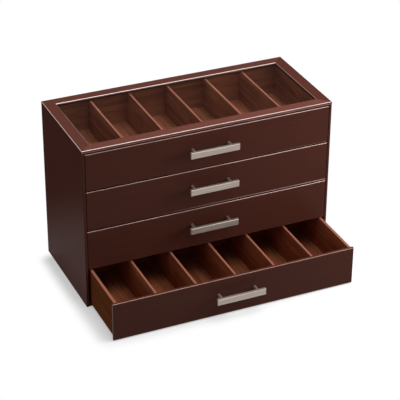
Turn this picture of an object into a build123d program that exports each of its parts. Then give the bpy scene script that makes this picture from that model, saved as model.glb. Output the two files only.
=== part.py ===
"""Accessory box: a glazed-top case on a felt base with four divided drawers on bar pulls.

Frame: millimetres, +Z up, the front faces -Y, and the origin is the centre of the felt base on the floor.
The bottom drawer stands part open, and the other three are shut.
"""

import os
from collections import namedtuple

from build123d import *

# Case
case_width = 440.0
case_depth = 192.0
case_height = 290.5
side_thickness = 4.2
back_thickness = 3.0
bottom_thickness = 3.4
shelf_thickness = 3.0
housing_depth = 1.5
back_rebate_depth = 2.0
shelf_setback = 1.0
edge_round = 1.0

# Felt sheet under the case
felt_thickness = 1.0
felt_margin = 2.0

# Glazed top
rail_width = 19.5
rail_thickness = 4.6
glass_thickness = 2.2
glass_rebate_width = 5.0
glass_rebate_depth = 2.4
glass_clearance = 0.3
retainer_thickness = 1.4
retainer_width = 8.0
retainer_setback = 1.0
retainer_end_gap = 0.5

# Drawers
drawer_names = ("bottom_drawer", "third_drawer", "second_drawer", "top_drawer")
bottom_drawer_opening = 108.0
top_front_height = 65.5
bottom_front_height = 68.2
front_thickness = 4.8
front_edge_round = 1.2
front_gap = 2.3
top_gap = 2.8
front_side_gap = 0.8
side_setback = 3.0
box_lift = 3.2
box_drop = 0.3
drawer_side_thickness = 5.0
drawer_back_thickness = 5.0
drawer_back_rebate = 2.2
drawer_bottom_thickness = 3.0
drawer_bottom_lift = 3.0
groove_depth = 1.6
divider_count = 5
divider_thickness = 4.0
divider_drop = 0.5
top_edge_ease = 0.5

# Guide strips between the drawers and the case sides
guide_height = 8.0
guide_setback = 18.0
guide_end_gap = 22.0
guide_clearance = 0.5

# Bar pulls
bar_length = 86.0
bar_height = 11.2
bar_depth = 5.0
bar_edge_chamfer = 0.8
handle_projection = 22.0
handle_drop = 28.8
post_spacing = 64.0
post_diameter = 5.0
spigot_diameter = 3.0
spigot_length = 2.5
screw_diameter = 3.0
screw_reach = 9.0
screw_head_diameter = 6.5
screw_head_height = 2.0
screw_head_chamfer = 0.8
screw_hole_clearance = 0.3
thread_clearance = 0.05

# Fits
joint_clearance = 0.1
running_clearance = 0.2
stop_clearance = 0.3

# Places that follow from the sizes above
half_width = case_width / 2
inner_half_width = half_width - side_thickness
front_plane = -case_depth / 2
back_plane = case_depth / 2
back_panel_face = back_plane - back_thickness
rail_underside = case_height - rail_thickness
panel_height = rail_underside - felt_thickness
floor_top = felt_thickness + bottom_thickness
shelf_front = front_plane + front_thickness + shelf_setback
shelf_depth = back_panel_face - shelf_front
shelf_centre = (back_panel_face + shelf_front) / 2

drawer_count = len(drawer_names)
lowest_front = floor_top + running_clearance - box_lift
top_level = drawer_count - 1
top_front_foot = rail_underside - top_gap - top_front_height
middle_foot = lowest_front + bottom_front_height + front_gap
middle_pitch = (top_front_foot - middle_foot) / (drawer_count - 2)
front_width = 2 * (inner_half_width - front_side_gap)

box_half_width = front_width / 2 - side_setback
box_inner_half_width = box_half_width - drawer_side_thickness
box_front = front_plane + front_thickness
box_back = back_panel_face - stop_clearance
box_back_inner = box_back - drawer_back_thickness
divider_pitch = (2 * box_inner_half_width + divider_thickness) / (divider_count + 1)

opening_width = case_width - 2 * rail_width
opening_depth = case_depth - 2 * rail_width
guide_thickness = inner_half_width - box_half_width - guide_clearance
guide_length = shelf_depth - guide_setback - guide_end_gap
post_length = handle_projection - bar_depth

# One drawer's place: its front's lower edge and height, and how far it is pulled out
Place = namedtuple("Place", "foot height out")


def place_of(level):
    """Place of the drawer at this level, counted from the bottom."""
    if level == 0:
        return Place(lowest_front, bottom_front_height, bottom_drawer_opening)
    if level == top_level:
        return Place(top_front_foot, top_front_height, 0)
    return Place(middle_foot + (level - 1) * middle_pitch, middle_pitch - front_gap, 0)


def box_height(place):
    """Height of a drawer's sides and back."""
    return place.height - box_lift - box_drop


def floor_height(place):
    """Height of the upper face of a drawer's bottom panel."""
    return place.foot + box_lift + drawer_bottom_lift + drawer_bottom_thickness


def divider_height(place):
    """Height of a drawer's dividers."""
    return box_height(place) - drawer_bottom_lift - drawer_bottom_thickness - divider_drop


def facing(y):
    """A plane that looks out of the front of the box, at depth y."""
    return Plane.XZ.offset(-y)


def shelf_top(level):
    """Height of the surface that the drawer at this level slides on."""
    return place_of(level).foot + box_lift - running_clearance


def save(piece, name):
    """Labels a finished piece and writes it."""
    piece.part.label = name
    export_step(piece.part, f"parts/{name}.step")


# Case pieces


def make_side_panel(hand):
    """Side board, with housings for the bottom and the shelves and a rebate for the back."""
    inner_face = Plane.YZ.offset(hand * inner_half_width)
    with BuildPart() as panel:
        with BuildSketch(inner_face):
            with Locations((0, felt_thickness + panel_height / 2)):
                Rectangle(case_depth, panel_height)
        extrude(amount=hand * side_thickness)
        outer_edges = panel.edges().filter_by(Axis.Z).group_by(Axis.X)[-1 if hand > 0 else 0]
        fillet(outer_edges, edge_round)
        with BuildSketch(inner_face):
            with Locations((shelf_centre, felt_thickness + bottom_thickness / 2)):
                Rectangle(shelf_depth, bottom_thickness)
            for level in range(1, drawer_count):
                with Locations((shelf_centre, shelf_top(level) - shelf_thickness / 2)):
                    Rectangle(shelf_depth, shelf_thickness)
        extrude(amount=hand * housing_depth, mode=Mode.SUBTRACT)
        with BuildSketch(inner_face):
            with Locations((back_plane - back_thickness / 2, felt_thickness + panel_height / 2)):
                Rectangle(back_thickness, panel_height)
        extrude(amount=hand * back_rebate_depth, mode=Mode.SUBTRACT)
    return panel


def make_back_panel():
    """Thin board that closes the back and sits in the rebates of the sides."""
    width = 2 * (inner_half_width + back_rebate_depth - joint_clearance)
    with BuildPart() as panel:
        with BuildSketch(facing(back_plane)):
            with Locations((0, felt_thickness + panel_height / 2)):
                Rectangle(width, panel_height)
        extrude(amount=back_thickness)
    return panel


def make_shelf(top, thickness):
    """Board housed in both sides, which carries one drawer."""
    width = 2 * (inner_half_width + housing_depth - joint_clearance)
    with BuildPart() as shelf:
        with BuildSketch(Plane.XY.offset(top)):
            with Locations((0, shelf_centre)):
                Rectangle(width, shelf_depth)
        extrude(amount=-thickness)
    return shelf


def make_base_felt():
    """Felt sheet that the box stands on."""
    with BuildPart() as felt:
        with BuildSketch(Plane.XY):
            Rectangle(case_width - 2 * felt_margin, case_depth - 2 * felt_margin)
        extrude(amount=felt_thickness)
    return felt


def make_guides(hand):
    """Strips glued to one case side, one on each shelf, which keep the drawers straight."""
    x = hand * (inner_half_width - guide_thickness / 2)
    y = shelf_front + guide_setback + guide_length / 2
    with BuildPart() as guides:
        for level in range(drawer_count):
            with BuildSketch(Plane.XY.offset(shelf_top(level))):
                with Locations((x, y)):
                    Rectangle(guide_thickness, guide_length)
            extrude(amount=guide_height)
    return guides


# Glazed top


def make_rail(corners, run, outward):
    """One mitred rail of the top frame, rebated underneath for the glass."""
    with BuildPart() as rail:
        with BuildSketch(Plane.XY.offset(rail_underside)):
            with BuildLine():
                Polyline(*corners, close=True)
            make_face()
        extrude(amount=rail_thickness)
        run_edges = rail.edges().filter_by(run)
        outer_edges = run_edges.group_by(outward)[-1]
        inner_top_edge = run_edges.group_by(outward)[0].sort_by(Axis.Z)[-1]
        fillet(outer_edges + [inner_top_edge], edge_round)
        with BuildSketch(Plane.XY.offset(rail_underside)):
            Rectangle(opening_width + 2 * glass_rebate_width, opening_depth + 2 * glass_rebate_width)
        extrude(amount=glass_rebate_depth, mode=Mode.SUBTRACT)
    return rail


def make_top_frame():
    """The four rails of the top frame, by name."""
    x_out, y_out = half_width, case_depth / 2
    x_in, y_in = opening_width / 2, opening_depth / 2
    front = [(-x_out, -y_out), (x_out, -y_out), (x_in, -y_in), (-x_in, -y_in)]
    right = [(x_out, -y_out), (x_out, y_out), (x_in, y_in), (x_in, -y_in)]
    back = [(-x, -y) for x, y in front]
    left = [(-x, -y) for x, y in right]
    return {
        "top_front_rail": make_rail(front, Axis.X, -Axis.Y),
        "top_back_rail": make_rail(back, Axis.X, Axis.Y),
        "top_left_rail": make_rail(left, Axis.Y, -Axis.X),
        "top_right_rail": make_rail(right, Axis.Y, Axis.X),
    }


def make_glass_pane():
    """Pane in the rebate of the top frame."""
    reach = 2 * (glass_rebate_width - glass_clearance)
    with BuildPart() as pane:
        with BuildSketch(Plane.XY.offset(rail_underside + glass_rebate_depth)):
            Rectangle(opening_width + reach, opening_depth + reach)
        extrude(amount=-glass_thickness)
    return pane


def make_glass_retainers():
    """Four thin strips under the top frame, which hold the glass up in its rebate."""
    x_inner = opening_width / 2 + retainer_setback
    y_inner = opening_depth / 2 + retainer_setback
    long_strip = 2 * (x_inner + retainer_width)
    short_strip = 2 * (y_inner - retainer_end_gap)
    with BuildPart() as strips:
        with BuildSketch(Plane.XY.offset(rail_underside)):
            with Locations((0, y_inner + retainer_width / 2), (0, -y_inner - retainer_width / 2)):
                Rectangle(long_strip, retainer_width)
            with Locations((x_inner + retainer_width / 2, 0), (-x_inner - retainer_width / 2, 0)):
                Rectangle(retainer_width, short_strip)
        extrude(amount=-retainer_thickness)
    return strips


# Drawer pieces


def divider_places():
    """Middle of each divider, from left to right."""
    first = -box_inner_half_width - divider_thickness / 2
    return [first + divider_pitch * (n + 1) for n in range(divider_count)]


def handle_height(place):
    """Height of a bar pull's centre line."""
    return place.foot + place.height - handle_drop


def make_drawer_front(place):
    """Front board, grooved behind for the sides, the dividers and the bottom, with two screw holes."""
    box_foot = place.foot + box_lift
    box_middle = box_foot + box_height(place) / 2
    side_middle = box_half_width - drawer_side_thickness / 2
    back_face = facing(box_front - place.out)
    with BuildPart() as front:
        with BuildSketch(back_face):
            with Locations((0, place.foot + place.height / 2)):
                Rectangle(front_width, place.height)
        extrude(amount=front_thickness)
        fillet(front.faces().sort_by(Axis.Y)[0].edges(), front_edge_round)
        with BuildSketch(back_face):
            with Locations((-side_middle, box_middle), (side_middle, box_middle)):
                Rectangle(drawer_side_thickness, box_height(place))
            with Locations((0, box_foot + drawer_bottom_lift + drawer_bottom_thickness / 2)):
                Rectangle(2 * box_inner_half_width, drawer_bottom_thickness)
            for x in divider_places():
                with Locations((x, floor_height(place) + divider_height(place) / 2)):
                    Rectangle(divider_thickness, divider_height(place))
        extrude(amount=groove_depth, mode=Mode.SUBTRACT)
        with BuildSketch(back_face):
            with Locations((0, handle_height(place))):
                with GridLocations(post_spacing, 0, 2, 1):
                    Circle(screw_diameter / 2 + screw_hole_clearance)
        extrude(amount=front_thickness, mode=Mode.SUBTRACT)
    return front


def make_drawer_side(hand, place):
    """Drawer side, grooved for the bottom and rebated behind for the back board."""
    box_foot = place.foot + box_lift
    front_end = box_front - groove_depth + joint_clearance
    length = box_back - front_end
    middle = (box_back + front_end) / 2 - place.out
    rebate_middle = box_back - drawer_back_thickness / 2 - place.out
    inner_face = Plane.YZ.offset(hand * box_inner_half_width)
    with BuildPart() as side:
        with BuildSketch(inner_face):
            with Locations((middle, box_foot + box_height(place) / 2)):
                Rectangle(length, box_height(place))
        extrude(amount=hand * drawer_side_thickness)
        chamfer(side.edges().filter_by(Axis.Y).group_by(Axis.Z)[-1], top_edge_ease)
        with BuildSketch(inner_face):
            with Locations((middle, box_foot + drawer_bottom_lift + drawer_bottom_thickness / 2)):
                Rectangle(length, drawer_bottom_thickness)
        extrude(amount=hand * groove_depth, mode=Mode.SUBTRACT)
        with BuildSketch(inner_face):
            with Locations((rebate_middle, box_foot + box_height(place) / 2)):
                Rectangle(drawer_back_thickness, box_height(place))
        extrude(amount=hand * drawer_back_rebate, mode=Mode.SUBTRACT)
    return side


def make_drawer_back(place):
    """Back board of a drawer, grooved inside for the dividers and the bottom."""
    box_foot = place.foot + box_lift
    width = 2 * (box_inner_half_width + drawer_back_rebate - joint_clearance)
    inner_face = facing(box_back_inner - place.out)
    with BuildPart() as back:
        with BuildSketch(inner_face):
            with Locations((0, box_foot + box_height(place) / 2)):
                Rectangle(width, box_height(place))
        extrude(amount=-drawer_back_thickness)
        chamfer(back.edges().filter_by(Axis.X).group_by(Axis.Z)[-1], top_edge_ease)
        with BuildSketch(inner_face):
            with Locations((0, box_foot + drawer_bottom_lift + drawer_bottom_thickness / 2)):
                Rectangle(width, drawer_bottom_thickness)
            for x in divider_places():
                with Locations((x, floor_height(place) + divider_height(place) / 2)):
                    Rectangle(divider_thickness, divider_height(place))
        extrude(amount=-groove_depth, mode=Mode.SUBTRACT)
    return back


def make_drawer_bottom(place):
    """Bottom panel, held in the grooves of the front, the sides and the back."""
    reach = groove_depth - joint_clearance
    width = 2 * box_inner_half_width
    front_end = box_front - reach
    back_end = box_back_inner + reach
    with BuildPart() as bottom:
        with BuildSketch(Plane.XY.offset(place.foot + box_lift + drawer_bottom_lift)):
            with Locations((0, (front_end + back_end) / 2 - place.out)):
                Rectangle(width, back_end - front_end)
            with Locations((0, (box_front + box_back_inner) / 2 - place.out)):
                Rectangle(width + 2 * reach, box_back_inner - box_front)
        extrude(amount=drawer_bottom_thickness)
    return bottom


def make_dividers(place):
    """Dividers that stand on the bottom panel with their ends in the front's and the back's grooves."""
    reach = groove_depth - joint_clearance
    front_end = box_front - reach
    back_end = box_back_inner + reach
    with BuildPart() as dividers:
        with BuildSketch(Plane.XY.offset(floor_height(place))):
            for x in divider_places():
                with Locations((x, (front_end + back_end) / 2 - place.out)):
                    Rectangle(divider_thickness - 2 * joint_clearance, back_end - front_end)
        extrude(amount=divider_height(place))
        chamfer(dividers.edges().filter_by(Axis.Y).group_by(Axis.Z)[-1], top_edge_ease)
    return dividers


# Bar pull pieces


def make_handle_bar(place):
    """Flat bar with a blind hole behind for each post's spigot."""
    bar_back = facing(front_plane - post_length - place.out)
    with BuildPart() as bar:
        with BuildSketch(bar_back):
            with Locations((0, handle_height(place))):
                Rectangle(bar_length, bar_height)
        extrude(amount=bar_depth)
        chamfer(bar.faces().sort_by(Axis.Y)[0].edges(), bar_edge_chamfer)
        with BuildSketch(bar_back):
            with Locations((0, handle_height(place))):
                with GridLocations(post_spacing, 0, 2, 1):
                    Circle(spigot_diameter / 2 + thread_clearance)
        extrude(amount=spigot_length, mode=Mode.SUBTRACT)
    return bar


def make_handle_posts(place):
    """Two round posts, with a spigot for the bar and a tapped hole for the screw."""
    front_face = facing(front_plane - place.out)
    with BuildPart() as posts:
        with BuildSketch(front_face):
            with Locations((0, handle_height(place))):
                with GridLocations(post_spacing, 0, 2, 1):
                    Circle(post_diameter / 2)
        extrude(amount=post_length)
        with BuildSketch(front_face.offset(post_length)):
            with Locations((0, handle_height(place))):
                with GridLocations(post_spacing, 0, 2, 1):
                    Circle(spigot_diameter / 2)
        extrude(amount=spigot_length - joint_clearance)
        with BuildSketch(front_face):
            with Locations((0, handle_height(place))):
                with GridLocations(post_spacing, 0, 2, 1):
                    Circle(screw_diameter / 2 + thread_clearance)
        extrude(amount=screw_reach + joint_clearance, mode=Mode.SUBTRACT)
    return posts


def make_handle_screws(place):
    """Two pan-head screws from inside the drawer into the posts."""
    back_face = facing(box_front - place.out)
    with BuildPart() as screws:
        with BuildSketch(back_face):
            with Locations((0, handle_height(place))):
                with GridLocations(post_spacing, 0, 2, 1):
                    Circle(screw_head_diameter / 2)
        extrude(amount=-screw_head_height)
        chamfer(screws.faces().group_by(Axis.Y)[-1].edges(), screw_head_chamfer)
        with BuildSketch(back_face):
            with Locations((0, handle_height(place))):
                with GridLocations(post_spacing, 0, 2, 1):
                    Circle(screw_diameter / 2)
        extrude(amount=front_thickness + screw_reach)
    return screws


def make_drawer(name, place):
    """All the pieces of one drawer, by name."""
    return {
        f"{name}_front": make_drawer_front(place),
        f"{name}_left_side": make_drawer_side(-1, place),
        f"{name}_right_side": make_drawer_side(1, place),
        f"{name}_back": make_drawer_back(place),
        f"{name}_bottom": make_drawer_bottom(place),
        f"{name}_dividers": make_dividers(place),
        f"{name}_handle_bar": make_handle_bar(place),
        f"{name}_handle_posts": make_handle_posts(place),
        f"{name}_handle_screws": make_handle_screws(place),
    }


def main():
    """Builds every piece and writes it."""
    os.makedirs("parts", exist_ok=True)
    pieces = {
        "base_felt": make_base_felt(),
        "left_side_panel": make_side_panel(-1),
        "right_side_panel": make_side_panel(1),
        "back_panel": make_back_panel(),
        "bottom_panel": make_shelf(floor_top, bottom_thickness),
        "left_drawer_guides": make_guides(-1),
        "right_drawer_guides": make_guides(1),
        "glass_pane": make_glass_pane(),
        "glass_retainers": make_glass_retainers(),
    }
    for level in range(1, drawer_count):
        pieces[f"{drawer_names[level]}_shelf"] = make_shelf(shelf_top(level), shelf_thickness)
    pieces.update(make_top_frame())
    for level, name in enumerate(drawer_names):
        pieces.update(make_drawer(name, place_of(level)))
    for name, piece in pieces.items():
        save(piece, name)


main()
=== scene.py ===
"""Looks of a glazed-top accessory box with four divided drawers on bar pulls, in metres."""

import logging
import math
from dataclasses import dataclass, field
from enum import Enum
from typing import Any, ClassVar, Optional, Union

import bmesh
import bpy
from mathutils import Matrix, Vector


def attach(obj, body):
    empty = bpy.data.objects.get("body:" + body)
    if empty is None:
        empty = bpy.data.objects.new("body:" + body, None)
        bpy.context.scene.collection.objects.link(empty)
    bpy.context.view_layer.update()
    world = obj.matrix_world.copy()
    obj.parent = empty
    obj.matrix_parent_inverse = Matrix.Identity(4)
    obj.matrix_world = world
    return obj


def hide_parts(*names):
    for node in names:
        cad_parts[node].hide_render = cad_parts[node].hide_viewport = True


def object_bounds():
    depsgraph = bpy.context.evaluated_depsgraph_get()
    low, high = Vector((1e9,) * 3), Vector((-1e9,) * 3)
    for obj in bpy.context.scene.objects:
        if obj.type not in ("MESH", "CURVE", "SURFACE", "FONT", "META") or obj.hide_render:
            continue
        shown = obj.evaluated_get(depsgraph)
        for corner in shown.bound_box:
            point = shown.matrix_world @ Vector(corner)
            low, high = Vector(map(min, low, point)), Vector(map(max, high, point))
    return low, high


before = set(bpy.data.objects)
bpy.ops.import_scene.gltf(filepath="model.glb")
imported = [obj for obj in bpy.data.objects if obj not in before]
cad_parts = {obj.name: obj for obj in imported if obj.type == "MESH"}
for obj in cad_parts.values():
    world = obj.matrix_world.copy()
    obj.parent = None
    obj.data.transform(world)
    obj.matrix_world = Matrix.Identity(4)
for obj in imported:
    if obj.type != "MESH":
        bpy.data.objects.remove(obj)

LOG = logging.getLogger("accessory_box")
CAD_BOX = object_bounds()

Triple = tuple[float, float, float]
Colour = Triple
Span = tuple[float, float]
Value = Union["Sock", float]

# Directions in the box's frame, where the front faces -Y
RIGHTWARD: Triple = (1.0, 0.0, 0.0)
LEFTWARD: Triple = (-1.0, 0.0, 0.0)
BACKWARD: Triple = (0.0, 1.0, 0.0)
FORWARD: Triple = (0.0, -1.0, 0.0)
UPWARD: Triple = (0.0, 0.0, 1.0)

WHITE: Colour = (1.0, 1.0, 1.0)
EVEN: Triple = (1.0, 1.0, 1.0)

# Noise: its middle value, and how fine it is for clouds, for bands and for fibres
NOISE_MIDDLE = 0.5
CLOUD_DETAIL = 2.0
BAND_DETAIL = 3.0
FIBRE_DETAIL = 4.0


# Shader graphs


class Grain(Enum):
    """The way a board's grain runs, as an index of the box's axes."""

    ALONG_WIDTH = 0
    ALONG_DEPTH = 1

    def stretch(self, along: float) -> Triple:
        """Scale of the coordinates that draws wood out along its grain."""
        scale = [1.0, 1.0, 1.0]
        scale[self.value] = along
        return (scale[0], scale[1], scale[2])


class Hand(Enum):
    """A side of the box, with the sign of its outward direction across the width."""

    LEFT = -1.0
    RIGHT = 1.0

    @property
    def word(self) -> str:
        """The word for it in the names of nodes."""
        return self.name.lower()


class Sock:
    """A socket of a material's graph that takes Python's operators."""

    def __init__(self, sheet: "Sheet", socket: Optional[bpy.types.NodeSocket]) -> None:
        """Keeps the sheet that the socket is on."""
        self.sheet = sheet
        self.socket = socket

    def maths(self, operation: str, *others: Value) -> "Sock":
        """Adds a Math node with this socket first.

        Args:
            operation: The Math node's operation.
            others: The other operands.

        Returns:
            The node's result.
        """
        operands = dict(enumerate((self, *others)))
        return self.sheet.add("ShaderNodeMath", {"operation": operation}, operands)

    def reflected(self, operation: str, first: Value) -> "Sock":
        """Adds a Math node with this socket second."""
        return self.sheet.add("ShaderNodeMath", {"operation": operation}, {0: first, 1: self})

    def __add__(self, other: Value) -> "Sock":
        """self + other."""
        return self.maths("ADD", other)

    def __radd__(self, other: Value) -> "Sock":
        """other + self."""
        return self.reflected("ADD", other)

    def __sub__(self, other: Value) -> "Sock":
        """self - other."""
        return self.maths("SUBTRACT", other)

    def __rsub__(self, other: Value) -> "Sock":
        """other - self."""
        return self.reflected("SUBTRACT", other)

    def __mul__(self, other: Value) -> "Sock":
        """self * other."""
        return self.maths("MULTIPLY", other)

    def __rmul__(self, other: Value) -> "Sock":
        """other * self."""
        return self.reflected("MULTIPLY", other)

    def __abs__(self) -> "Sock":
        """abs(self)."""
        return self.maths("ABSOLUTE")

    def over(self, low: float, high: float) -> "Sock":
        """Rises smoothly from 0 at low to 1 at high."""
        inputs = {"Value": self, "From Min": low, "From Max": high}
        return self.sheet.add("ShaderNodeMapRange", {"interpolation_type": "SMOOTHSTEP"}, inputs)

    def swing(self, amount: float) -> "Sock":
        """A noise's swing about its middle, times an amount."""
        return amount * (self - NOISE_MIDDLE)

    def beside(self, name: str) -> "Sock":
        """Another output of the same node."""
        return Sock(self.sheet, self.socket.node.outputs[name])


class Sheet:
    """The graph of one material or world."""

    EASED_SPAN: ClassVar[Span] = (0.03, 0.09)
    PIECE_SHIFT: ClassVar[Triple] = (3.1, 5.7, 7.3)

    def __init__(self, tree: bpy.types.NodeTree) -> None:
        """Empties the tree."""
        self.tree = tree
        tree.nodes.clear()

    def add(self, kind: str, settings: Optional[dict[str, Any]] = None,
            inputs: Optional[dict[Union[str, int], Any]] = None, out: Union[str, int] = 0) -> Sock:
        """Adds a node.

        Args:
            kind: The node's type.
            settings: Properties to set first.
            inputs: Values or links of its sockets, by name or index.
            out: The output to return.

        Returns:
            The chosen output, which is empty on a node without outputs.
        """
        node = self.tree.nodes.new(kind)
        for name, value in (settings or {}).items():
            setattr(node, name, value)
        for name, value in (inputs or {}).items():
            socket = node.inputs[name]
            if isinstance(value, Sock):
                self.tree.links.new(value.socket, socket)
            elif socket.type == "RGBA":
                socket.default_value = (*value, 1.0)
            else:
                socket.default_value = value
        return Sock(self, node.outputs[out] if len(node.outputs) else None)

    def mix(self, factor: Value, first: Union[Sock, Colour], second: Union[Sock, Colour],
            blend: str = "MIX") -> Sock:
        """Mixes two colours.

        Args:
            factor: 0 for the first and 1 for the second.
            first: A colour or a socket.
            second: A colour or a socket.
            blend: The Mix node's blend type.

        Returns:
            The mixed colour.
        """
        return self.add("ShaderNodeMix", {"data_type": "RGBA", "blend_type": blend},
                        {0: factor, 6: first, 7: second}, out=2)

    def vector(self, operation: str, *operands: Union[Sock, Triple]) -> Sock:
        """Adds a Vector Math node and returns its vector."""
        return self.add("ShaderNodeVectorMath", {"operation": operation}, dict(enumerate(operands)))

    def noise(self, place: Sock, scale: float, detail: float, twist: float = 0.0) -> Sock:
        """Noise of the given scale over a place, bent by its twist."""
        return self.add("ShaderNodeTexNoise", inputs={
            "Vector": place, "Scale": scale, "Detail": detail, "Distortion": twist})

    def bump(self, height: Sock, strength: float, depth: float) -> Sock:
        """Fine relief for a shader's Normal."""
        return self.add("ShaderNodeBump", inputs={
            "Strength": strength, "Distance": depth, "Height": height})

    def place(self) -> Sock:
        """The piece's own coordinates in metres."""
        return self.add("ShaderNodeTexCoord", out="Object")

    def piece_place(self, stretch: Triple = EVEN) -> Sock:
        """The piece's own coordinates, stretched, and shifted differently for each piece."""
        chance = self.add("ShaderNodeObjectInfo", out="Random")
        steps = {i: chance * step for i, step in enumerate(self.PIECE_SHIFT)}
        moved = self.vector("ADD", self.place(), self.add("ShaderNodeCombineXYZ", inputs=steps))
        return self.add("ShaderNodeMapping", {"vector_type": "POINT"}, {"Vector": moved, "Scale": stretch})

    def split(self, vector: Sock) -> tuple[Sock, Sock, Sock]:
        """The three parts of a vector."""
        x = self.add("ShaderNodeSeparateXYZ", inputs={0: vector})
        return x, x.beside("Y"), x.beside("Z")

    def normal_parts(self) -> tuple[Sock, Sock, Sock]:
        """The three parts of the surface's normal."""
        return self.split(self.add("ShaderNodeNewGeometry", out="Normal"))

    def eased_edge(self) -> Sock:
        """1 on rounded or chamfered edges and 0 on the flats that lie along the box's axes."""
        x, y, z = (abs(part) for part in self.normal_parts())
        flat = x.maths("MAXIMUM", y).maths("MAXIMUM", z)
        return (1 - flat).over(*self.EASED_SPAN)

    def finish(self, shader: Sock) -> None:
        """Links the shader to the material's output."""
        self.add("ShaderNodeOutputMaterial", inputs={"Surface": shader})


def new_sheet(name: str) -> tuple[bpy.types.Material, Sheet]:
    """A new material and its empty sheet."""
    material = bpy.data.materials.new(name)
    material.use_nodes = True
    return material, Sheet(material.node_tree)


def reach(node: str, way: Triple) -> Span:
    """The lowest and highest place of a CAD node along a direction, in the node's own frame."""
    heights = [Vector(corner).dot(Vector(way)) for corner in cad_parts[node].bound_box]
    return min(heights), max(heights)


# Finishes


@dataclass(frozen=True)
class Figure:
    """The figure of a wood: bands and fibres drawn out along the grain, pores and soft clouds."""

    stretch: float
    band_scale: float
    band_twist: float
    fibre_scale: float
    cloud_scale: float
    pore_span: Span
    fibre_twist: float = 0.2

    def draw(self, sheet: Sheet, grain: Grain) -> tuple[Sock, Sock, Sock, Sock]:
        """Draws the figure.

        Args:
            sheet: The sheet to draw on.
            grain: The way the grain runs.

        Returns:
            The bands, the fibres, the clouds and the pores.
        """
        along = sheet.piece_place(grain.stretch(self.stretch))
        bands = sheet.noise(along, self.band_scale, BAND_DETAIL, self.band_twist)
        fibres = sheet.noise(along, self.fibre_scale, FIBRE_DETAIL, self.fibre_twist)
        clouds = sheet.noise(sheet.piece_place(), self.cloud_scale, CLOUD_DETAIL)
        return bands, fibres, clouds, fibres.over(*self.pore_span)


@dataclass(frozen=True)
class Lacquer:
    """Satin mahogany lacquer over fine straight grain, with painted highlights along the rounded edges.

    The board is the CAD node that wears it, or a word for several.
    """

    board: str
    grain: Grain
    dark: Colour = (0.096, 0.0310, 0.0220)
    light: Colour = (0.132, 0.0455, 0.0335)
    tone_shares: Triple = (0.4, 0.35, 0.25)
    pore_stain: float = 0.3
    roughness: float = 0.42
    fibre_roughness: float = 0.10
    cloud_roughness: float = 0.08
    gloss: float = 0.006
    ripple_scale: float = 260.0
    ripple_share: float = 0.6
    pore_share: float = 0.4
    relief: float = 0.10
    relief_depth: float = 0.0003
    # The edge fields make a painted highlight: a pale, part-metallic shader on the rounded edges that face
    # up or down.
    edge: Colour = (0.82, 0.57, 0.51)
    edge_metal: float = 0.5
    edge_stain: float = 0.2
    edge_roughness: float = 0.25
    edge_cover: float = 0.92
    edge_wander: float = 0.3
    upright_span: Span = (0.10, 0.35)
    # How much the painted edge highlights fade towards the left of the box.
    dull_left: float = 0.0
    figure: Figure = Figure(
        stretch=0.06, band_scale=150.0, band_twist=0.6, fibre_scale=900.0, cloud_scale=14.0,
        pore_span=(0.60, 0.74))

    def worn(self, sheet: Sheet) -> Sock:
        """Painted highlight: 1 on the rounded edges that face up or down, where light from above falls."""
        upright = abs(sheet.normal_parts()[2]).over(*self.upright_span)
        # The painted highlights fade towards the left of the box, where less light falls on the edges.
        x = sheet.split(sheet.place())[0]
        bright = 1 - self.dull_left * (1 - x.over(CAD_BOX[0][0], CAD_BOX[1][0]))
        return sheet.eased_edge() * upright * bright

    def make(self) -> bpy.types.Material:
        """Builds the material."""
        material, sheet = new_sheet(f"lacquer_{self.board}")
        bands, fibres, clouds, pores = self.figure.draw(sheet, self.grain)
        band_share, fibre_share, cloud_share = self.tone_shares
        tone = bands * band_share + fibres * fibre_share + clouds * cloud_share
        colour = sheet.mix(tone, self.dark, self.light)
        colour = sheet.mix(pores * self.pore_stain, colour, self.dark)
        ripple = sheet.noise(sheet.piece_place(), self.ripple_scale, CLOUD_DETAIL)
        height = self.ripple_share * ripple - self.pore_share * pores
        uneven = fibres.swing(self.fibre_roughness) + clouds.swing(self.cloud_roughness)
        board = sheet.add("ShaderNodeBsdfPrincipled", inputs={
            "Base Color": colour,
            "Roughness": self.roughness + uneven,
            "Normal": sheet.bump(height, self.relief, self.relief_depth),
            "Specular IOR Level": self.gloss})
        # The pale rim shader is the painted highlight of the edges.
        rim = sheet.add("ShaderNodeBsdfPrincipled", inputs={
            "Base Color": sheet.mix(self.edge_stain * bands, self.edge, colour),
            "Roughness": self.edge_roughness,
            "Metallic": self.edge_metal})
        # Where the painted highlight covers the board, unevenly.
        rim_share = self.worn(sheet) * (self.edge_cover + clouds.swing(self.edge_wander))
        sheet.finish(sheet.add("ShaderNodeMixShader", inputs={0: rim_share, 1: board, 2: rim}))
        return material


@dataclass(frozen=True)
class LinedLacquer(Lacquer):
    """Glossier lacquer of one board, which can have a painted highlight line along its lower front edge.
    """

    dark: Colour = (0.090, 0.0262, 0.0172)
    light: Colour = (0.126, 0.0410, 0.0290)
    roughness: float = 0.24
    gloss: float = 0.035
    foot_shine: float = 0.0
    foot_band: float = 0.0012
    foot_soft_share: float = 0.7
    face_soft_share: float = 0.5
    foot_span: Span = (-1.0, -0.9)

    def worn(self, sheet: Sheet) -> Sock:
        """Painted highlights on the rounded edges, and a painted highlight line along the foot of the
        front face.
        """
        x, y, z = sheet.split(sheet.place())
        low = reach(self.board, UPWARD)[0]
        front = reach(self.board, BACKWARD)[0]
        face = 1 - y.over(front + self.face_soft_share * self.foot_band, front + self.foot_band)
        foot = face * (1 - z.over(low + self.foot_soft_share * self.foot_band, low + self.foot_band))
        line = foot * x.over(*self.foot_span) * self.foot_shine
        return super().worn(sheet).maths("MAXIMUM", line)


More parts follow.
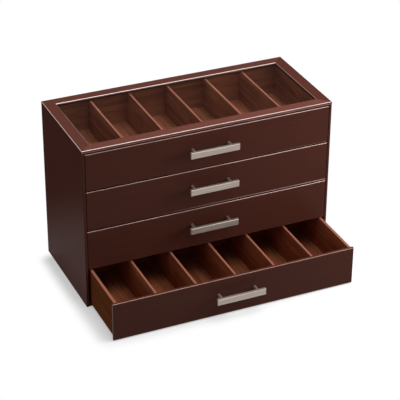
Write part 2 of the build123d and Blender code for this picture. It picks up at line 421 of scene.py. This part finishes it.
@dataclass(frozen=True)
class RailLacquer(LinedLacquer):
    """Lighter lacquer of a top rail, which can have painted highlight lines along its lip over the glass.
    """

    dark: Colour = (0.125, 0.0395, 0.0282)
    light: Colour = (0.176, 0.0600, 0.0445)
    roughness: float = 0.42
    gloss: float = 0.006
    edge: Colour = (0.90, 0.72, 0.68)
    edge_metal: float = 0.55
    lip: Triple = UPWARD
    # Strength of the painted highlight and painted reflection lines along the lip.
    lip_shine: float = 0.0
    lip_band: float = 0.0008
    lip_band_shares: Span = (1.2, 0.8)
    lip_height: float = 0.0022
    lip_height_shares: Span = (0.75, 0.6)
    upward_span: Span = (0.5, 0.7)

    def worn(self, sheet: Sheet) -> Sock:
        """The board's painted highlight lines, and two painted lines on the lip beside the glass: a
        highlight along its top and, low on its inner face, the highlight's reflection in the glass.
        """
        own = sheet.place()
        into = sheet.vector("DOT_PRODUCT", own, self.lip).beside("Value")
        end = reach(self.board, self.lip)[1]
        near = into.over(*(end - share * self.lip_band for share in self.lip_band_shares))
        upward = sheet.normal_parts()[2].over(*self.upward_span)
        top = CAD_BOX[1][2]
        height = sheet.split(own)[2]
        seat = 1 - height.over(*(top - share * self.lip_height for share in self.lip_height_shares))
        lines = near * (upward + (1 - upward) * seat)
        return super().worn(sheet).maths("MAXIMUM", lines * self.lip_shine)


@dataclass(frozen=True)
class BackLacquer(Lacquer):
    """Lacquer of the back panel, with the filled holes of the pins that hold it."""

    pin_pitch: float = 0.062
    pin_inset: float = 0.0042
    pin_radius: float = 0.0011
    pin_soft_share: float = 0.7
    pin_shine: float = 0.35

    def worn(self, sheet: Sheet) -> Sock:
        """Painted highlights on the rounded edges, and rows of small pale dots, the filled pin holes,
        along the panel's upper and lower edges.
        """
        x, _, z = sheet.split(sheet.place())
        low, high = reach(self.board, UPWARD)
        along = x.maths("PINGPONG", self.pin_pitch / 2)
        across = abs(abs(z - (low + high) / 2) - ((high - low) / 2 - self.pin_inset))
        far = (along * along + across * across).maths("SQRT")
        dots = 1 - far.over(self.pin_soft_share * self.pin_radius, self.pin_radius)
        return super().worn(sheet).maths("MAXIMUM", self.pin_shine * dots)


@dataclass(frozen=True)
class Veneer:
    """Thin red-brown veneer of the drawer boxes.

    It is paler along cut upper edges, and painted darker on the outer face of a drawer's side as shade.
    """

    grain: Grain
    cut_edges: bool = True
    hand: Optional[Hand] = None
    dark: Colour = (0.205, 0.061, 0.0270)
    light: Colour = (0.420, 0.138, 0.0670)
    edge: Colour = (0.460, 0.172, 0.1150)
    # Painted shade on the outer face of a drawer's side.
    outer_stain: Colour = (0.60, 0.56, 0.44)
    tone_shares: Triple = (0.65, 0.25, 0.3)
    tone_span: Span = (0.36, 0.84)
    pore_stain: float = 0.5
    facing_span: Span = (0.5, 0.75)
    edge_cover: float = 0.85
    edge_wander: float = 0.3
    roughness: float = 0.46
    fibre_roughness: float = 0.16
    gloss: float = 0.0
    relief: float = 0.2
    relief_depth: float = 0.0003
    figure: Figure = Figure(
        stretch=0.05, band_scale=120.0, band_twist=0.9, fibre_scale=700.0, cloud_scale=18.0,
        pore_span=(0.58, 0.72))

    @property
    def title(self) -> str:
        """The material's name."""
        kind = "edged" if self.cut_edges else "plain"
        hand = f"_{self.hand.word}" if self.hand else ""
        return f"veneer_{kind}{hand}_{self.grain.name.lower()}"

    def make(self) -> bpy.types.Material:
        """Builds the material."""
        material, sheet = new_sheet(self.title)
        bands, fibres, clouds, pores = self.figure.draw(sheet, self.grain)
        band_share, fibre_share, cloud_share = self.tone_shares
        tone = (bands * band_share + fibres * fibre_share + clouds * cloud_share).over(*self.tone_span)
        colour = sheet.mix(tone, self.dark, self.light)
        colour = sheet.mix(pores * self.pore_stain, colour, self.dark)
        if self.cut_edges:
            upward = sheet.normal_parts()[2].over(*self.facing_span)
            cut = upward * (self.edge_cover + fibres.swing(self.edge_wander))
            colour = sheet.mix(cut, colour, self.edge)
        # Painted shade: the outer face of a drawer's side is multiplied darker.
        if self.hand:
            outside = (self.hand.value * sheet.normal_parts()[0]).over(*self.facing_span)
            colour = sheet.mix(outside, colour, self.outer_stain, "MULTIPLY")
        sheet.finish(sheet.add("ShaderNodeBsdfPrincipled", inputs={
            "Base Color": colour,
            "Roughness": self.roughness + fibres.swing(self.fibre_roughness),
            "Normal": sheet.bump(fibres - pores, self.relief, self.relief_depth),
            "Specular IOR Level": self.gloss}))
        return material


@dataclass(frozen=True)
class BrushedNickel:
    """Satin nickel, brushed along the bar."""

    light: Colour = (0.53, 0.448, 0.390)
    dark: Colour = (0.36, 0.300, 0.258)
    metal: float = 0.7
    brush_stretch: Triple = (0.03, 1.0, 1.0)
    line_scale: float = 2600.0
    line_share: float = 0.6
    band_scale: float = 700.0
    band_share: float = 0.5
    tone_span: Span = (0.3, 0.8)
    roughness: float = 0.40
    line_roughness: float = 0.16
    band_roughness: float = 0.08
    relief: float = 0.15
    relief_depth: float = 0.0001

    def make(self) -> bpy.types.Material:
        """Builds the material."""
        material, sheet = new_sheet("brushed_nickel")
        along = sheet.piece_place(self.brush_stretch)
        lines = sheet.noise(along, self.line_scale, BAND_DETAIL)
        bands = sheet.noise(along, self.band_scale, CLOUD_DETAIL)
        tone = (lines * self.line_share + bands * self.band_share).over(*self.tone_span)
        uneven = lines.swing(self.line_roughness) + bands.swing(self.band_roughness)
        sheet.finish(sheet.add("ShaderNodeBsdfPrincipled", inputs={
            "Base Color": sheet.mix(tone, self.dark, self.light),
            "Roughness": self.roughness + uneven,
            "Normal": sheet.bump(lines, self.relief, self.relief_depth),
            "Metallic": self.metal}))
        return material


@dataclass(frozen=True)
class ZincSteel:
    """Plain zinc on the small screws."""

    light: Colour = (0.62, 0.62, 0.60)
    dark: Colour = (0.40, 0.40, 0.39)
    metal: float = 1.0
    spangle_scale: float = 900.0
    roughness: float = 0.28
    spangle_roughness: float = 0.2
    relief: float = 0.1
    relief_depth: float = 0.0001

    def make(self) -> bpy.types.Material:
        """Builds the material."""
        material, sheet = new_sheet("zinc_steel")
        spangle = sheet.noise(sheet.piece_place(), self.spangle_scale, CLOUD_DETAIL)
        sheet.finish(sheet.add("ShaderNodeBsdfPrincipled", inputs={
            "Base Color": sheet.mix(spangle, self.dark, self.light),
            "Roughness": self.roughness + self.spangle_roughness * spangle,
            "Normal": sheet.bump(spangle, self.relief, self.relief_depth),
            "Metallic": self.metal}))
        return material


@dataclass(frozen=True)
class ClearGlass:
    """Clear pane with faint smears, which lets light through to the top drawer."""

    tint: Colour = (0.90, 0.91, 0.905)
    shade: Colour = (0.45, 0.46, 0.455)
    index: float = 1.035
    smear_scale: float = 22.0
    smear_span: Span = (0.45, 0.75)
    smear_roughness: float = 0.01

    def make(self) -> bpy.types.Material:
        """Builds the material."""
        material, sheet = new_sheet("clear_glass")
        smear = sheet.noise(sheet.piece_place(), self.smear_scale, BAND_DETAIL).over(*self.smear_span)
        pane = sheet.add("ShaderNodeBsdfPrincipled", inputs={
            "Base Color": self.tint,
            "Roughness": self.smear_roughness * smear,
            "IOR": self.index,
            "Transmission Weight": 1.0})
        through = sheet.add("ShaderNodeBsdfTransparent", inputs={"Color": self.shade})
        shadow = sheet.add("ShaderNodeLightPath", out="Is Shadow Ray")
        sheet.finish(sheet.add("ShaderNodeMixShader", inputs={0: shadow, 1: pane, 2: through}))
        return material


@dataclass(frozen=True)
class BaseFelt:
    """Short dark felt under the case."""

    dark: Colour = (0.012, 0.009, 0.009)
    light: Colour = (0.045, 0.034, 0.032)
    fuzz_scale: float = 1400.0
    fuzz_twist: float = 1.2
    fuzz_share: float = 0.7
    mat_scale: float = 160.0
    mat_twist: float = 0.8
    mat_share: float = 0.4
    tone_span: Span = (0.3, 0.8)
    roughness: float = 0.85
    fuzz_roughness: float = 0.15
    gloss: float = 0.2
    sheen: float = 0.3
    relief: float = 0.6
    relief_depth: float = 0.0006

    def make(self) -> bpy.types.Material:
        """Builds the material."""
        material, sheet = new_sheet("base_felt")
        fuzz = sheet.noise(sheet.piece_place(), self.fuzz_scale, FIBRE_DETAIL, self.fuzz_twist)
        matted = sheet.noise(sheet.piece_place(), self.mat_scale, BAND_DETAIL, self.mat_twist)
        tone = (fuzz * self.fuzz_share + matted * self.mat_share).over(*self.tone_span)
        sheet.finish(sheet.add("ShaderNodeBsdfPrincipled", inputs={
            "Base Color": sheet.mix(tone, self.dark, self.light),
            "Roughness": self.roughness + self.fuzz_roughness * fuzz,
            "Normal": sheet.bump(fuzz, self.relief, self.relief_depth),
            "Specular IOR Level": self.gloss,
            "Sheen Weight": self.sheen}))
        return material


TOP_RAILS = (
    # The front rail's lighter colours are painted sheen from the lamps, and its foot line is a painted
    # highlight along its lower front edge.
    RailLacquer(
        "top_front_rail", Grain.ALONG_WIDTH, lip=BACKWARD, foot_shine=0.5,
        dark=(0.176, 0.0570, 0.0415), light=(0.246, 0.0860, 0.0650)),
    RailLacquer("top_back_rail", Grain.ALONG_WIDTH, lip=FORWARD, lip_shine=1.0),
    RailLacquer("top_left_rail", Grain.ALONG_DEPTH, lip=RIGHTWARD),
    # The right rail's darker colours and dimmer edge are painted shade, and its faint lip line is a weaker
    # painted highlight.
    RailLacquer(
        "top_right_rail", Grain.ALONG_DEPTH, lip=LEFTWARD, lip_shine=0.12,
        dark=(0.104, 0.0285, 0.0192), light=(0.147, 0.0430, 0.0300),
        edge=(0.46, 0.31, 0.27), edge_metal=0.3))

DRAWER_FRONTS = (
    # On the upper three fronts the painted edge highlights fade towards the left of the box.
    LinedLacquer("top_drawer_front", Grain.ALONG_WIDTH, dull_left=0.55),
    # The second front's foot line is a painted highlight, growing towards the right of its lower edge.
    LinedLacquer(
        "second_drawer_front", Grain.ALONG_WIDTH, dull_left=0.55,
        foot_shine=0.7, foot_band=0.0024, foot_span=(-0.12, 0.12)),
    LinedLacquer("third_drawer_front", Grain.ALONG_WIDTH, dull_left=0.55),
    # The bottom front's dimmer edge highlight and its lighter, more neutral colours are painted to match
    # the light on the open drawer.
    LinedLacquer(
        "bottom_drawer_front", Grain.ALONG_WIDTH, edge=(0.42, 0.22, 0.175), edge_metal=0.2,
        dark=(0.092, 0.0295, 0.0202), light=(0.130, 0.0465, 0.0340)))


@dataclass
class FinishSet:
    """Every finish of the box, made once."""

    rails: dict[str, bpy.types.Material] = field(init=False)
    fronts: dict[str, bpy.types.Material] = field(init=False)
    edged_veneer: dict[Grain, bpy.types.Material] = field(init=False)
    plain_veneer: dict[Grain, bpy.types.Material] = field(init=False)
    drawer_sides: dict[Hand, bpy.types.Material] = field(init=False)
    side_panels: bpy.types.Material = field(init=False)
    retainers: bpy.types.Material = field(init=False)
    back: bpy.types.Material = field(init=False)
    nickel: bpy.types.Material = field(init=False)
    zinc: bpy.types.Material = field(init=False)
    glass: bpy.types.Material = field(init=False)
    felt: bpy.types.Material = field(init=False)

    def __post_init__(self) -> None:
        """Makes the materials."""
        self.rails = {rail.board: rail.make() for rail in TOP_RAILS}
        self.fronts = {front.board: front.make() for front in DRAWER_FRONTS}
        self.edged_veneer = {grain: Veneer(grain).make() for grain in Grain}
        self.plain_veneer = {grain: Veneer(grain, cut_edges=False).make() for grain in Grain}
        self.drawer_sides = {hand: Veneer(Grain.ALONG_DEPTH, hand=hand).make() for hand in Hand}
        self.side_panels = Lacquer("side_panels", Grain.ALONG_DEPTH, roughness=0.32).make()
        self.retainers = Lacquer("glass_retainers", Grain.ALONG_WIDTH).make()
        self.back = BackLacquer("back_panel", Grain.ALONG_WIDTH).make()
        self.nickel = BrushedNickel().make()
        self.zinc = ZincSteel().make()
        self.glass = ClearGlass().make()
        self.felt = BaseFelt().make()


# Pieces


def dress(node: str, material: bpy.types.Material) -> bpy.types.Object:
    """Gives a CAD node its finish.

    Args:
        node: The node's name.
        material: Its material.

    Returns:
        The node's object.
    """
    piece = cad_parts[node]
    piece.data.materials.clear()
    piece.data.materials.append(material)
    LOG.info("dressed %s with %s", node, material.name)
    return piece


@dataclass
class Case:
    """The carcase: sides, back, bottom, shelves, guide strips and the felt under it."""

    finishes: FinishSet
    shelves: tuple[str, ...] = ("third_drawer_shelf", "second_drawer_shelf", "top_drawer_shelf")

    def build(self) -> None:
        """Dresses every piece of the carcase."""
        for hand in Hand:
            dress(f"{hand.word}_side_panel", self.finishes.side_panels)
            dress(f"{hand.word}_drawer_guides", self.finishes.plain_veneer[Grain.ALONG_DEPTH])
        dress("back_panel", self.finishes.back)
        for node in ("bottom_panel", *self.shelves):
            dress(node, self.finishes.plain_veneer[Grain.ALONG_WIDTH])
        dress("base_felt", self.finishes.felt)


@dataclass
class GlazedTop:
    """The mitred frame, its pane and the strips that hold it."""

    finishes: FinishSet

    def build(self) -> None:
        """Dresses the rails along their own grain, the strips and the glass."""
        for node, material in self.finishes.rails.items():
            dress(node, material)
        dress("glass_retainers", self.finishes.retainers)
        dress("glass_pane", self.finishes.glass)


@dataclass
class Drawer:
    """One drawer: its lacquered front, veneered box, dividers, bar pull and screws."""

    name: str
    finishes: FinishSet
    bar_softening: float = 0.0003
    bar_softening_steps: int = 2
    bar_corner: float = math.radians(30)
    shank_radius: float = 0.0014
    head_height: float = 0.0020
    crown_share: float = 0.62
    shoulder_share: float = 0.88
    shoulder_height_share: float = 0.15
    rim_height_share: float = 0.5
    recess_arms: int = 4
    recess_half_length: float = 0.0018
    recess_half_width: float = 0.00045
    recess_depth: float = 0.0010
    turns: int = 24

    def build(self) -> None:
        """Dresses the drawer's nodes and makes its screws."""
        dress(f"{self.name}_front", self.finishes.fronts[f"{self.name}_front"])
        for hand in Hand:
            dress(f"{self.name}_{hand.word}_side", self.finishes.drawer_sides[hand])
        dress(f"{self.name}_back", self.finishes.edged_veneer[Grain.ALONG_WIDTH])
        dress(f"{self.name}_bottom", self.finishes.plain_veneer[Grain.ALONG_DEPTH])
        dress(f"{self.name}_dividers", self.finishes.edged_veneer[Grain.ALONG_DEPTH])
        self.soften(dress(f"{self.name}_handle_bar", self.finishes.nickel))
        dress(f"{self.name}_handle_posts", self.finishes.nickel)
        self.make_screws(f"{self.name}_handle_screws")

    def soften(self, bar: bpy.types.Object) -> None:
        """Rounds the bar's sharp edges a little with a bevel."""
        bevel = bar.modifiers.new("soft_edges", "BEVEL")
        bevel.width = self.bar_softening
        bevel.segments = self.bar_softening_steps
        bevel.limit_method = "ANGLE"
        bevel.angle_limit = self.bar_corner
        bevel.harden_normals = False

    def make_screws(self, node: str) -> None:
        """Makes both pan-head screws of the pull, with crossed recesses, in place of a CAD node.

        Args:
            node: The CAD node that the screws stand for.
        """
        (left, right), (tip, head), (low, high) = (
            reach(node, axis) for axis in (RIGHTWARD, BACKWARD, UPWARD))
        radius = (high - low) / 2
        mesh = bmesh.new()
        for across in (left + radius, right - radius):
            self.add_screw(mesh, Vector((across, head, (low + high) / 2)), radius, head - tip)
        data = bpy.data.meshes.new(f"{self.name}_screws")
        bmesh.ops.recalc_face_normals(mesh, faces=mesh.faces[:])
        mesh.to_mesh(data)
        mesh.free()
        data.materials.append(self.finishes.zinc)
        piece = bpy.data.objects.new(f"{self.name}_screws", data)
        piece.matrix_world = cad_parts[node].matrix_world
        bpy.context.scene.collection.objects.link(piece)
        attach(piece, self.name)
        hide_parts(node)
        LOG.info("made %s in place of %s", piece.name, node)

    def add_screw(self, mesh: bmesh.types.BMesh, crown: Vector, radius: float, length: float) -> None:
        """Adds one screw that points out of the drawer's front.

        Args:
            mesh: The mesh to add to.
            crown: The middle of the head's outer face.
            radius: The head's radius.
            length: The screw's whole length.
        """
        profile = ((self.crown_share * radius, 0.0),
                   (self.shoulder_share * radius, self.shoulder_height_share * self.head_height),
                   (radius, self.rim_height_share * self.head_height),
                   (radius, self.head_height),
                   (self.shank_radius, self.head_height),
                   (self.shank_radius, length))
        angles = [2 * math.pi * i / self.turns for i in range(self.turns)]
        rings = [[mesh.verts.new(crown + Vector((r * math.cos(a), -down, r * math.sin(a))))
                  for a in angles] for r, down in profile]
        for upper, lower in zip(rings, rings[1:]):
            self.join(mesh, upper, lower)
        mesh.faces.new(rings[-1])
        mouth, floor = ([mesh.verts.new(crown + Vector((u, -down, v))) for u, v in self.recess_corners()]
                        for down in (0.0, self.recess_depth))
        self.join(mesh, mouth, floor)
        mesh.faces.new(floor)
        edges = [mesh.edges.get((ring[i - 1], ring[i]))
                 for ring in (rings[0], mouth) for i in range(len(ring))]
        bmesh.ops.triangle_fill(mesh, edges=edges, use_beauty=True, use_dissolve=False)

    def recess_corners(self) -> list[Span]:
        """The corners of the crossed recess in the head's face, one arm of the cross after another."""
        half, wide = self.recess_half_length, self.recess_half_width
        arm = ((half, wide), (wide, wide), (wide, half))
        corners: list[Span] = []
        for _ in range(self.recess_arms):
            corners.extend(arm)
            arm = tuple((-v, u) for u, v in arm)
        return corners

    @staticmethod
    def join(mesh: bmesh.types.BMesh, upper: list[bmesh.types.BMVert],
             lower: list[bmesh.types.BMVert]) -> None:
        """Joins two rings of as many points with quads."""
        for i in range(len(upper)):
            mesh.faces.new((upper[i - 1], upper[i], lower[i], lower[i - 1]))


# Studio


@dataclass(frozen=True)
class Softbox:
    """A soft area lamp aimed at a point, in metres and watts."""

    name: str
    place: Triple
    target: Triple
    width: float
    height: float
    power: float

    def light(self) -> None:
        """Adds the lamp to the scene."""
        data = bpy.data.lights.new(self.name, "AREA")
        data.shape = "RECTANGLE"
        data.size = self.width
        data.size_y = self.height
        data.energy = self.power
        lamp = bpy.data.objects.new(self.name, data)
        aim = Vector(self.target) - Vector(self.place)
        turn = aim.to_track_quat("-Z", "Y").to_matrix().to_4x4()
        lamp.matrix_world = Matrix.Translation(self.place) @ turn
        bpy.context.scene.collection.objects.link(lamp)


@dataclass
class Studio:
    """Camera, lamps, floor and white surround.

    The floor keeps the shadow near the box and is white further away. Behind the box it is dark in
    reflections, so that only the lower part of a side panel mirrors it.
    """

    camera_place: Triple = (-0.9533, -2.1823, 1.4778)
    azimuth: float = -24.15
    elevation: float = 30.00
    roll: float = 0.36
    focal_px: float = 1611.0
    image_px: float = 400.0
    sensor: float = 36.0
    surround: float = 0.21
    floor_reach: float = 6.0
    floor_seen: Colour = (0.85, 0.85, 0.85)
    floor_bounce: Colour = (0.20, 0.20, 0.20)
    floor_glow: float = 0.36
    shadow_middle: Triple = (0.0, -0.072, 0.0)
    shadow_half: Triple = (0.220, 0.135, 0.0)
    shadow_span: Span = (0.005, 0.032)
    behind_span: Span = (0.09, 0.29)
    behind_seen: Colour = (0.05, 0.05, 0.05)
    lamps: tuple[Softbox, ...] = (
        Softbox("overhead_softbox", (0.40, -0.40, 2.4), (0.0, 0.0, 0.2), 2.0, 1.6, 31.0),
        Softbox("right_softbox", (0.70, -0.45, 0.45), (0.10, -0.05, 0.15), 0.4, 0.4, 2.8),
        Softbox("left_fill", (-1.6, 0.10, 0.50), (-0.2, 0.0, 0.12), 1.0, 0.8, 2.5))

    def build(self) -> None:
        """Sets up the camera, the world, the floor and the lamps."""
        self.place_camera()
        self.make_world()
        self.make_floor()
        for lamp in self.lamps:
            lamp.light()
        bpy.context.scene.view_settings.view_transform = "Standard"

    def place_camera(self) -> None:
        """Puts the camera where the photograph was taken from."""
        a, e, r = (math.radians(v) for v in (self.azimuth, self.elevation, self.roll))
        back = Vector((math.sin(a) * math.cos(e), -math.cos(a) * math.cos(e), math.sin(e)))
        right = (-back).cross(Vector(UPWARD)).normalized()
        up = right.cross(-back)
        across = math.cos(r) * right + math.sin(r) * up
        above = math.cos(r) * up - math.sin(r) * right
        turn = Matrix((across, above, back)).transposed().to_4x4()
        data = bpy.data.cameras.new("camera")
        data.sensor_width = self.sensor
        data.sensor_fit = "HORIZONTAL"
        data.lens = self.focal_px * self.sensor / self.image_px
        camera = bpy.data.objects.new("camera", data)
        camera.matrix_world = Matrix.Translation(self.camera_place) @ turn
        bpy.context.scene.collection.objects.link(camera)
        bpy.context.scene.camera = camera

    @staticmethod
    def seen_rays(sheet: Sheet) -> Sock:
        """1 for camera, glossy and transmission rays that have not yet met a matte surface."""
        camera = sheet.add("ShaderNodeLightPath", out="Is Camera Ray")
        seen = camera + camera.beside("Is Glossy Ray") + camera.beside("Is Transmission Ray")
        straight = 1 - camera.beside("Diffuse Depth").maths("MINIMUM", 1.0)
        return seen.maths("MINIMUM", 1.0) * straight

    def make_world(self) -> None:
        """White to the eye and in reflections, and a plain grey light on surfaces."""
        world = bpy.data.worlds.new("studio")
        world.use_nodes = True
        bpy.context.scene.world = world
        sheet = Sheet(world.node_tree)
        strength = self.surround + (1.0 - self.surround) * self.seen_rays(sheet)
        light = sheet.add("ShaderNodeBackground", inputs={"Color": WHITE, "Strength": strength})
        sheet.add("ShaderNodeOutputWorld", inputs={"Surface": light})

    def make_floor(self) -> None:
        """Lays the floor."""
        far = self.floor_reach
        data = bpy.data.meshes.new("floor")
        corners = [(-far, -far, 0.0), (far, -far, 0.0), (far, far, 0.0), (-far, far, 0.0)]
        data.from_pydata(corners, [], [tuple(range(len(corners)))])
        data.materials.append(self.floor_finish())
        floor = bpy.data.objects.new("floor", data)
        bpy.context.scene.collection.objects.link(floor)

    def floor_finish(self) -> bpy.types.Material:
        """The pale floor, which keeps the shadow and fades to white."""
        material, sheet = new_sheet("studio_floor")
        seen = self.seen_rays(sheet)
        matte = sheet.add("ShaderNodeBsdfDiffuse", inputs={
            "Color": sheet.mix(seen, self.floor_bounce, self.floor_seen)})
        glow = sheet.add("ShaderNodeEmission", inputs={"Color": WHITE, "Strength": self.floor_glow * seen})
        near = sheet.add("ShaderNodeAddShader", inputs={0: matte, 1: glow})
        place = sheet.place()
        glossy = sheet.add("ShaderNodeLightPath", out="Is Glossy Ray")
        behind = sheet.split(place)[1].over(*self.behind_span) * glossy
        far = sheet.add("ShaderNodeEmission", inputs={
            "Color": sheet.mix(behind, WHITE, self.behind_seen), "Strength": 1.0})
        side = sheet.vector("ABSOLUTE", sheet.vector("SUBTRACT", place, self.shadow_middle))
        past = sheet.vector("MAXIMUM", sheet.vector("SUBTRACT", side, self.shadow_half), (0.0, 0.0, 0.0))
        away = sheet.vector("LENGTH", past).beside("Value")
        white = away.over(*self.shadow_span) * seen
        sheet.finish(sheet.add("ShaderNodeMixShader", inputs={0: white, 1: near, 2: far}))
        return material


def main() -> None:
    """Builds the studio and every sub-assembly of the box."""
    logging.basicConfig(level=logging.INFO, format="%(name)s: %(message)s")
    finishes = FinishSet()
    Studio().build()
    Case(finishes).build()
    GlazedTop(finishes).build()
    for name in ("top_drawer", "second_drawer", "third_drawer", "bottom_drawer"):
        Drawer(name, finishes).build()


if __name__ == "__main__":
    main()
